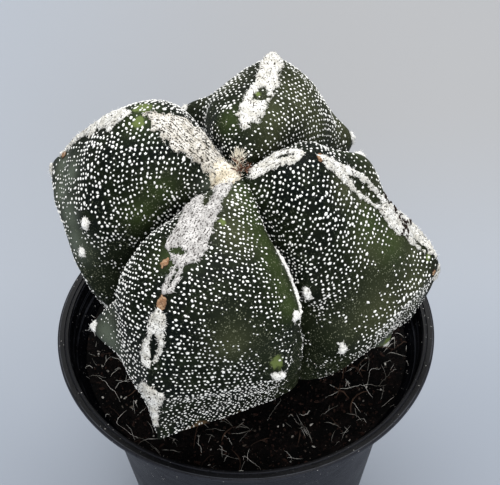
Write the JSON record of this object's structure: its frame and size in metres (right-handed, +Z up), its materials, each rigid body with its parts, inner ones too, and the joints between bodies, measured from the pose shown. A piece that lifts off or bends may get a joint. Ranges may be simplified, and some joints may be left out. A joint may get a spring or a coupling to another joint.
{
  "type": "potted bishops cap cactus",
  "caption": "Squat bishop's cap cactus with broad, deeply grooved ribs, white flecks and woolly crests, growing in peat in a round black nursery pot.",
  "frame": {"origin": "centre of the pot's flat base", "axes": "+Z up; the pictured front of the plant faces -Y, +X to the right"},
  "size_m": [0.1059, 0.105, 0.1605],
  "materials": {
    "black_plastic": "thin moulded black plastic, satin, dusty on the rim",
    "peat_soil": "damp dark peat with fibres",
    "cactus_skin": "waxy dark green skin with white flecks",
    "white_wool": "matted white plant wool",
    "cream_wool": "fresh cream plant wool",
    "dried_spine": "dry brown spine and cork"
  },
  "bodies": {
    "root": {"pot": "black_plastic", "soil": "peat_soil", "cactus_body": "cactus_skin", "wool_left_inner": "white_wool", "wool_left_outer": "white_wool", "wool_left_corner": "white_wool", "wool_front_upper": "white_wool", "wool_front_middle": "white_wool", "wool_front_lower": "white_wool", "wool_right_inner": "white_wool", "wool_right_middle": "white_wool", "wool_right_outer": "white_wool", "wool_right_corner": "white_wool", "wool_back_inner": "white_wool", "wool_back_outer": "white_wool", "wool_tuft_01": "white_wool", "wool_tuft_02": "white_wool", "wool_tuft_03": "white_wool", "wool_tuft_04": "white_wool", "wool_tuft_05": "white_wool", "wool_tuft_06": "white_wool", "wool_tuft_07": "white_wool", "wool_tuft_08": "white_wool", "wool_tuft_09": "white_wool", "wool_tuft_10": "white_wool", "wool_tuft_11": "white_wool", "wool_tuft_12": "white_wool", "wool_tuft_13": "white_wool", "wool_tuft_14": "white_wool", "wool_tuft_15": "white_wool", "wool_tuft_16": "white_wool", "wool_crown": "cream_wool", "crown_spines": "dried_spine"}
  },
  "joints": []
}
